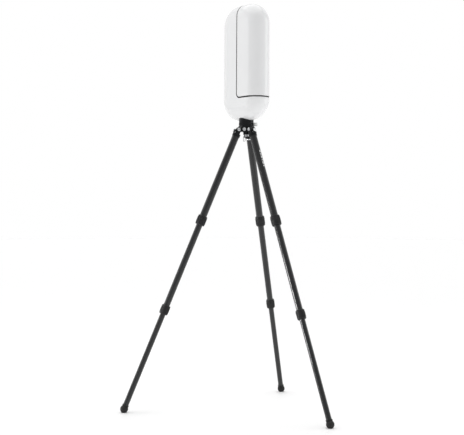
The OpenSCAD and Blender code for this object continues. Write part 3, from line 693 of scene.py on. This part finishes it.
class TELESCOPE_OT_hinge_bolts(bpy.types.Operator):
    """Make the hinge bolts with domed heads and hexagon sockets"""
    bl_idname = "telescope.hinge_bolts"
    bl_label = "Hinge bolts"
    EAR, HEAD_T, HEAD_R, SHANK_R = 12.3 * MM, 2.5 * MM, 6 * MM, 3 * MM
    SOCKET_R, SOCKET_DEPTH, SOCKET_EDGE = 2.6 * MM, 1.5 * MM, 0.15 * MM
    # The head's outside: how far out from its radius and how far up from the ear
    HEAD = ((0, 0), (0, 1.3), (-0.8, 2.2), (-1.8, 2.5))

    def execute(self, context):
        bolts = []
        for i in LEGS:
            pieces = [rod(self.SHANK_R, 2 * self.EAR, 48)]
            for side in (1, -1):
                head = self.head()
                if side < 0:
                    head.transform(Matrix.Rotation(math.pi, 4, "X"))
                pieces.append(head)
            bolt = joined(*pieces)
            bolt.transform(leg_matrix(i) @ Matrix.Rotation(-math.pi / 2, 4, "X"))
            bolts.append(bolt)
        made = piece_from(joined(*bolts), "hinge_bolts_finished")
        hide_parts("hinge_bolts")
        dress(made, finish_of("steel"), "tripod_head")
        return {"FINISHED"}

    def head(self):
        """A domed head on the ear's outer face"""
        top = self.EAR + self.HEAD_T
        outside = in_mm(self.HEAD, self.HEAD_R, self.EAR)
        head = turned([(0, self.EAR), *outside, (0, top)], 48)
        socket = rod(self.SOCKET_R, 2 * self.SOCKET_DEPTH, 6)
        socket.transform(Matrix.Translation((0, 0, top)))
        head = carved(head, ("DIFFERENCE", socket))
        bevel_edges(head, self.SOCKET_EDGE, angle=40, segments=2)
        return head


class TELESCOPE_OT_leg_tops(bpy.types.Operator):
    """Round the yokes and make the angle catches with knurled knobs"""
    bl_idname = "telescope.leg_tops"
    bl_label = "Leg tops"
    PLATE_T, PLATE_EDGE, PLATE_INTO_KNOB = 5 * MM, 0.5 * MM, 1 * MM
    CORE_INSET, GRIP_FIT, GRIP_FOOT, GRIP_END = 1.6 * MM, 0.03 * MM, 0.2 * MM, 2.3 * MM
    RIDGE_R, RIDGE_INSET, RIDGE_SHORT = 0.4 * MM, 0.55 * MM, 1.6 * MM
    # Out from the knob's radius, and up from its foot or from its top
    CAP = ((-1.6, -2), (-0.5, -1.7), (-0.3, -1.2), (-0.5, -0.5), (-1.2, 0))
    GRIP_LOW, GRIP_HIGH = ((-0.9, 0.2), (-0.5, 0.7)), ((-0.5, -2.8), (-0.9, -2.3))

    def execute(self, context):
        values = settings("telescope_detail")
        for i in LEGS:
            rounded_copy(f"leg_yoke_{i}", values.edge)
            self.catch(i, values)
        return {"FINISHED"}

    def catch(self, i, values):
        node = f"angle_catch_{i}"
        low, high = in_frame(node, leg_matrix(i))
        knob_r, knob_t = (high.y - low.y) / 2, values.knob_length
        start = high.x - knob_t
        plate = prism((0, low.y), (start + self.PLATE_INTO_KNOB, high.y), self.PLATE_T)
        bevel_edges(plate, self.PLATE_EDGE, segments=2)
        plate.transform(Matrix.Translation((0, 0, low.z + self.PLATE_T / 2)))
        core = knob_r - self.CORE_INSET
        knob = turned([(0, 0), (core, 0), *in_mm(self.CAP, knob_r, knob_t), (0, knob_t)], 60)
        foot, end, hollow = self.GRIP_FOOT, knob_t - self.GRIP_END, core + self.GRIP_FIT
        grip = turned([(hollow, foot), *in_mm(self.GRIP_LOW, knob_r),
                       *in_mm(self.GRIP_HIGH, knob_r, knob_t), (hollow, end)], 60)
        ridge = rod(self.RIDGE_R, end - self.RIDGE_SHORT, 6)
        ridge.transform(Matrix.Translation((knob_r - self.RIDGE_INSET, 0, (foot + end) / 2)))
        grip = joined(grip, ring_of(ridge, values.knurl_count))
        place = (Matrix.Translation((start, 0, high.z - knob_r))
                 @ Matrix.Rotation(math.pi / 2, 4, "Y"))
        for shape in (knob, grip):
            shape.transform(place)
        made = piece_from(joined(plate, knob), f"{node}_finished", leg_matrix(i))
        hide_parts(node)
        dress(made, finish_of("bright_metal"), body_of(node))
        made = piece_from(grip, f"catch_grip_{i}", leg_matrix(i))
        dress(made, finish_of("black_casting"), body_of(node))


class TELESCOPE_OT_twist_locks(bpy.types.Operator):
    """Make the ribbed twist locks"""
    bl_idname = "telescope.twist_locks"
    bl_label = "Twist locks"
    FIT, RIB_EDGE, RIB_END, RIB_SHARE = 0.06 * MM, 0.35 * MM, 7 * MM, 0.5
    CORE_INSET = 0.25 * MM
    # One end of the sleeve: how far in from its core and how far from its end, in millimetres
    SLEEVE_END = ((2.2, 0), (1.3, 0.5), (0, 3), (0, 4.6), (0.5, 5), (0.5, 5.8), (0, 6.2))

    def execute(self, context):
        values = settings("telescope_detail")
        for i in LEGS:
            for stage, outer, inner in (("upper", "upper", "middle"), ("lower", "middle", "lower")):
                self.lock(f"{stage}_lock_{i}", f"{outer}_tube_{i}", f"{inner}_tube_{i}", i, values)
        return {"FINISHED"}

    def lock(self, node, outer_tube, inner_tube, i, values):
        matrix = leg_matrix(i)
        low, high = in_frame(node, matrix)
        outer, inner = (in_frame(tube, matrix)[1].y for tube in (outer_tube, inner_tube))
        middle, core = (low.z + high.z) / 2, high.y - self.CORE_INSET
        bore, seat = inner + self.FIT, outer + self.FIT
        bottom = [(core - inset * MM, low.z + rise * MM) for inset, rise in self.SLEEVE_END]
        top = [(core - inset * MM, high.z - drop * MM) for inset, drop in self.SLEEVE_END]
        sleeve = turned([(bore, low.z), *bottom, *reversed(top),
                         (seat, high.z), (seat, middle), (bore, middle)])
        wide = 2 * math.pi * high.y / values.rib_count * self.RIB_SHARE
        rib = brick((2 * values.rib_height, wide, high.z - low.z - 2 * self.RIB_END))
        bevel_edges(rib, self.RIB_EDGE, segments=2)
        rib.transform(Matrix.Translation((core, 0, middle)))
        made = piece_from(joined(sleeve, ring_of(rib, values.rib_count)), f"{node}_ribbed",
                          matrix)
        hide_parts(node)
        dress(made, finish_of("grip_rubber"), body_of(node))


class TELESCOPE_OT_feet(bpy.types.Operator):
    """Make the rubber ball feet with their collars and grooves"""
    bl_idname = "telescope.feet"
    bl_label = "Feet"
    BALL_BELOW, NECK_WALL, SEAT_UP = 16 * MM, 2 * MM, 4 * MM
    BALL_STEPS, STEP_ANGLE = 18, 7.4
    GROOVES, GROOVE_DEPTH = (7, 10, 13), 0.5 * MM
    # The neck's outside: how far out from its radius and how far above the ball's centre
    NECK = ((0, 10.6), (0, 12.4), (-0.6, 12.8), (-0.6, 13.4), (0, 13.8), (0, 15.5), (-0.5, 16))

    def execute(self, context):
        for i in LEGS:
            node = f"foot_{i}"
            matrix = leg_matrix(i)
            high, tube = (in_frame(name, matrix)[1] for name in (node, f"lower_tube_{i}"))
            centre, neck = high.z - self.BALL_BELOW, tube.y + self.NECK_WALL
            seat = centre + self.SEAT_UP
            points = [(0, seat), (0, centre - high.y)]
            for step in range(1, self.BALL_STEPS + 1):
                angle = math.radians(step * self.STEP_ANGLE - 90)
                ball = high.y - (self.GROOVE_DEPTH if step in self.GROOVES else 0)
                points.append((ball * math.cos(angle), centre + ball * math.sin(angle)))
            points += [*in_mm(self.NECK, neck, centre), (tube.y, high.z), (tube.y, seat)]
            foot = turned(points, 72)
            foot.transform(matrix)
            bmesh.ops.bisect_plane(
                foot, geom=foot.verts[:] + foot.edges[:] + foot.faces[:], dist=1e-7,
                plane_co=(0, 0, 0), plane_no=(0, 0, -1), clear_outer=True)
            bmesh.ops.holes_fill(foot, edges=foot.edges, sides=0)
            bmesh.ops.recalc_face_normals(foot, faces=foot.faces)
            made = piece_from(foot, f"{node}_grooved")
            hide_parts(node)
            dress(made, finish_of("foot_rubber"), body_of(node))
        return {"FINISHED"}


class TELESCOPE_OT_strap_and_marks(bpy.types.Operator):
    """Finish the strap band, and add the trim ring under it and the plain marks on one leg"""
    bl_idname = "telescope.strap_and_marks"
    bl_label = "Strap and marks"
    # The trim ring's section: out from the tube and up from its top
    TRIM = ((0.02, -4), (0.9, -4), (1.3, -3.4), (1.3, -0.6), (0.9, 0), (0.02, 0))
    BAND_EDGE, TRIM_GAP = 0.4 * MM, 0.4 * MM
    DASHES = ((9, 0), (5, 13), (9, 22), (5, 35), (9, 44), (5, 57))  # length and start of each
    DASH_T, DASH_OFF, FIRST_DASH = 0.04 * MM, 0.05 * MM, -86 * MM
    DASH_WIDE, DASH_TURN = math.radians(26), math.radians(-6)

    def execute(self, context):
        rounded_copy("strap_band", self.BAND_EDGE)
        self.trim_ring()
        self.marks()
        return {"FINISHED"}

    def trim_ring(self):
        """A bright ring just under the strap band"""
        matrix = leg_matrix(2)
        top = in_frame("strap_band", matrix)[0].z - self.TRIM_GAP
        tube = in_frame("upper_tube_2", matrix)[1].y
        ring = turned(in_mm(self.TRIM, tube, top), 72)
        made = piece_from(ring, "trim_ring", matrix)
        dress(made, finish_of("bright_metal"), "leg_upper_2")

    def marks(self):
        """Plain pale dashes down the outer side of one leg"""
        matrix = leg_matrix(1)
        tube = in_frame("upper_tube_1", matrix)[1].y
        dashes = []
        for tall, start in self.DASHES:
            dash = bmesh.new()
            first = dash.verts.new((tube + self.DASH_OFF, 0, self.FIRST_DASH - start * MM))
            bmesh.ops.spin(dash, geom=[first], cent=(0, 0, first.co.z), axis=(0, 0, 1),
                           angle=self.DASH_WIDE, steps=8)
            pulled = bmesh.ops.extrude_edge_only(dash, edges=dash.edges[:])["geom"]
            bmesh.ops.translate(dash, verts=points_of(pulled), vec=(0, 0, -tall * MM))
            bmesh.ops.recalc_face_normals(dash, faces=dash.faces)
            if dash.faces[:][0].normal.x < 0:
                bmesh.ops.reverse_faces(dash, faces=dash.faces)
            bmesh.ops.solidify(dash, geom=dash.faces[:], thickness=self.DASH_T)
            dashes.append(dash)
        made = piece_from(joined(*dashes), "leg_marks",
                          matrix @ Matrix.Rotation(self.DASH_TURN, 4, "Z"))
        dress(made, finish_of("mark_paint"), "leg_upper_1")


class TELESCOPE_OT_controls(bpy.types.Operator):
    """Finish the power button, its light ring and the charging socket"""
    bl_idname = "telescope.controls"
    bl_label = "Controls"
    MARK = ((4.2, -0.02), (4.9, -0.02), (4.9, 0.25), (4.2, 0.25))
    TONGUE, TONGUE_EDGE, TONGUE_IN = (6.4 * MM, 0.7 * MM, 5.6 * MM), 0.2 * MM, 4.3 * MM

    def execute(self, context):
        for node, width in (("power_button", 0.5), ("button_light_ring", 0.5), ("usb_socket", 0.25)):
            rounded_copy(node, width * MM)
        self.button_mark()
        self.socket_tongue()
        return {"FINISHED"}

    def button_mark(self):
        """A plain grey ring let into the button's face"""
        low, high = in_frame("power_button", HOUSING)
        place = Matrix.Translation(((low.x + high.x) / 2, (low.y + high.y) / 2, low.z))
        made = piece_from(turned(in_mm(self.MARK), 60), "button_mark", HOUSING @ place)
        dress(made, finish_of("motor_grey"), "button")

    def socket_tongue(self):
        """The charging socket's black contact tongue"""
        low, high = in_frame("usb_socket", HOUSING)
        tongue = brick(self.TONGUE)
        bevel_edges(tongue, self.TONGUE_EDGE, segments=2)
        place = Matrix.Translation(
            ((low.x + high.x) / 2, (low.y + high.y) / 2, low.z + self.TONGUE_IN))
        made = piece_from(tongue, "socket_tongue", HOUSING @ place)
        dress(made, finish_of("black_liner"), "head")


class TELESCOPE_OT_optics(bpy.types.Operator):
    """Finish the lens cell, the altitude hub and the liner's screws, and ring the opening"""
    bl_idname = "telescope.optics"
    bl_label = "Optics"
    WINDOW_RING = ((25.5, 0), (28.9, 0), (28.5, -0.6), (25.9, -0.9), (25.5, -0.5))
    RING_OFF = 0.02 * MM

    def execute(self, context):
        edge = settings("telescope_detail").edge
        for node, share_of_edge in (("lens_cell", 0.5), ("altitude_hub", 1), ("liner_screws", 0.3)):
            rounded_copy(node, share_of_edge * edge)
        self.window_ring()
        return {"FINISHED"}

    def window_ring(self):
        """A thin bevelled ring round the tube's opening, in front of the lens"""
        low, high = in_frame("lens_cell", HOUSING)
        place = (Matrix.Translation(((low.x + high.x) / 2, TUBE_Y0 - self.RING_OFF, 0))
                 @ Matrix.Rotation(-math.pi / 2, 4, "X"))
        made = piece_from(turned(in_mm(self.WINDOW_RING)), "window_ring", HOUSING @ place)
        dress(made, finish_of("black_casting"), "tube")


class TELESCOPE_OT_stage(bpy.types.Operator):
    """Make the floor, the lights and the camera"""
    bl_idname = "telescope.stage"
    bl_label = "Stage"
    FLOOR_HALF = 40
    OVERHEAD_SPREAD, OVERHEAD_TILT = math.radians(80), (math.radians(6), math.radians(-8), 0)
    ROOM_DARKEST, ROOM_LIGHTEST = -0.6, 0.8  # cosines of the angle from the backdrop's middle
    LEG_AIM = 0.45  # where the leg light points, as a share of the hinges' height
    SENSOR, FARTHEST = 36, 100

    def execute(self, context):
        values = settings("telescope_stage")
        self.floor()
        self.lights(values)
        self.camera(values)
        return {"FINISHED"}

    def floor(self):
        sheet = bmesh.new()
        bmesh.ops.create_grid(sheet, x_segments=1, y_segments=1, size=self.FLOOR_HALF)
        made = piece_from(sheet, "floor")
        finish = Finish("floor_paint", (0.95, 0.95, 0.95), 0.6)
        finish.drift(2, 0.004)
        made.data.materials.append(finish.material)

    def lights(self, values):
        self.room(values)
        bpy.context.scene.view_settings.view_transform = "Standard"
        side = math.degrees(values.camera_side)
        legs = Vector((AXIS.x, AXIS.y, self.LEG_AIM * HINGE_H))
        self.soft_box("key_box", side - 100, away=3.2, height=2.35, size=(2.1, 2.2),
                      power=values.key, aim=HOUSING_CENTRE)
        self.soft_box("leg_box", side - 80, away=2.4, height=0.35, size=(0.6, 0.6),
                      power=values.leg_light, aim=legs, spread=20)
        self.soft_box("edge_box", side + 92, away=2.6, height=1.5, size=(1.0, 2.4),
                      power=values.edge_light, aim=HOUSING_CENTRE)
        overhead = bpy.data.lights.new("overhead", "SUN")
        overhead.energy, overhead.angle = values.overhead, self.OVERHEAD_SPREAD
        made = bpy.data.objects.new("overhead", overhead)
        made.rotation_euler = self.OVERHEAD_TILT
        bpy.context.scene.collection.objects.link(made)

    def room(self, values):
        """A pale room, darker on the camera's side, with a white backdrop"""
        world = bpy.data.worlds.new("studio")
        world.use_nodes = True
        tree = world.node_tree
        light = tree.nodes["Background"]
        light.inputs["Color"].default_value = (1, 1, 1, 1)
        place = tree.nodes.new("ShaderNodeTexCoord")
        facing = tree.nodes.new("ShaderNodeVectorMath")
        facing.operation = "DOT_PRODUCT"
        side = values.camera_side
        facing.inputs[1].default_value = (-math.cos(side), -math.sin(side), 0)
        tone = tree.nodes.new("ShaderNodeMapRange")
        for socket, value in (
                ("From Min", self.ROOM_DARKEST), ("From Max", self.ROOM_LIGHTEST),
                ("To Min", values.room_front), ("To Max", values.room_back)):
            tone.inputs[socket].default_value = value
        backdrop = tree.nodes.new("ShaderNodeBackground")
        backdrop.inputs["Color"].default_value = (1, 1, 1, 1)
        path = tree.nodes.new("ShaderNodeLightPath")
        mix = tree.nodes.new("ShaderNodeMixShader")
        for source, target in (
                (place.outputs["Generated"], facing.inputs[0]),
                (facing.outputs["Value"], tone.inputs["Value"]),
                (tone.outputs["Result"], light.inputs["Strength"]),
                (path.outputs["Is Camera Ray"], mix.inputs[0]),
                (light.outputs[0], mix.inputs[1]), (backdrop.outputs[0], mix.inputs[2]),
                (mix.outputs[0], tree.nodes["World Output"].inputs["Surface"])):
            tree.links.new(source, target)
        bpy.context.scene.world = world

    def soft_box(self, name, direction, away, height, size, power, aim, spread=180):
        data = bpy.data.lights.new(name, "AREA")
        data.spread = math.radians(spread)
        data.shape, data.size, data.size_y, data.energy = "RECTANGLE", *size, power
        made = bpy.data.objects.new(name, data)
        turn = math.radians(direction)
        place = Vector((aim.x + away * math.cos(turn), aim.y + away * math.sin(turn), height))
        facing = (aim - place).to_track_quat("-Z", "Y").to_matrix().to_4x4()
        made.matrix_world = Matrix.Translation(place) @ facing
        made.visible_camera = False
        bpy.context.scene.collection.objects.link(made)

    def camera(self, values):
        data = bpy.data.cameras.new("camera")
        data.lens, data.sensor_width = values.lens, self.SENSOR
        data.clip_end = self.FARTHEST
        made = bpy.data.objects.new("camera", data)
        bpy.context.scene.collection.objects.link(made)
        side = values.camera_side
        away = Vector((math.cos(side), math.sin(side), 0)) * values.camera_away
        heading = side + math.pi + values.camera_yaw
        forward = Euler((0, -values.camera_pitch, heading), "XYZ").to_matrix() @ Vector((1, 0, 0))
        across = forward.cross(Vector((0, 0, 1))).normalized()
        upright = across.cross(forward)
        roll = values.camera_roll
        right = math.cos(roll) * across + math.sin(roll) * upright
        top = right.cross(forward)
        turn = Matrix((right, top, -forward)).transposed().to_4x4()
        place = Matrix.Translation((AXIS.x + away.x, away.y, values.camera_height))
        made.matrix_world = place @ turn
        bpy.context.scene.camera = made


class TELESCOPE_PT_panel(bpy.types.Panel):
    """Lists the settings and the operators"""
    bl_label = "Telescope"
    bl_space_type = "VIEW_3D"
    bl_region_type = "UI"
    bl_category = "Telescope"

    def draw(self, context):
        for group in GROUPS:
            values = settings(group)
            column = self.layout.column()
            for name in values.bl_rna.properties.keys():
                if name not in ("rna_type", "name"):
                    column.prop(values, name)
        for operator in OPERATORS:
            self.layout.operator(operator.bl_idname)


OPERATORS = (
    TELESCOPE_OT_stage,
    TELESCOPE_OT_finishes,
    TELESCOPE_OT_shells,
    TELESCOPE_OT_head_castings,
    TELESCOPE_OT_hinge_bolts,
    TELESCOPE_OT_leg_tops,
    TELESCOPE_OT_twist_locks,
    TELESCOPE_OT_feet,
    TELESCOPE_OT_strap_and_marks,
    TELESCOPE_OT_controls,
    TELESCOPE_OT_optics,
)
GROUPS = {
    "telescope_finish": TelescopeFinish,
    "telescope_detail": TelescopeDetail,
    "telescope_stage": TelescopeStage,
}


def register():
    for kind in (*GROUPS.values(), *OPERATORS, TELESCOPE_PT_panel):
        bpy.utils.register_class(kind)
    for name, kind in GROUPS.items():
        setattr(bpy.types.Scene, name, bpy.props.PointerProperty(type=kind))


def unregister():
    for name in GROUPS:
        delattr(bpy.types.Scene, name)
    for kind in (TELESCOPE_PT_panel, *reversed(OPERATORS), *reversed(GROUPS.values())):
        bpy.utils.unregister_class(kind)


def main():
    register()
    for operator in OPERATORS:
        group, name = operator.bl_idname.split(".")
        getattr(getattr(bpy.ops, group), name)()
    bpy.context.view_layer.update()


if __name__ == "__main__":
    main()
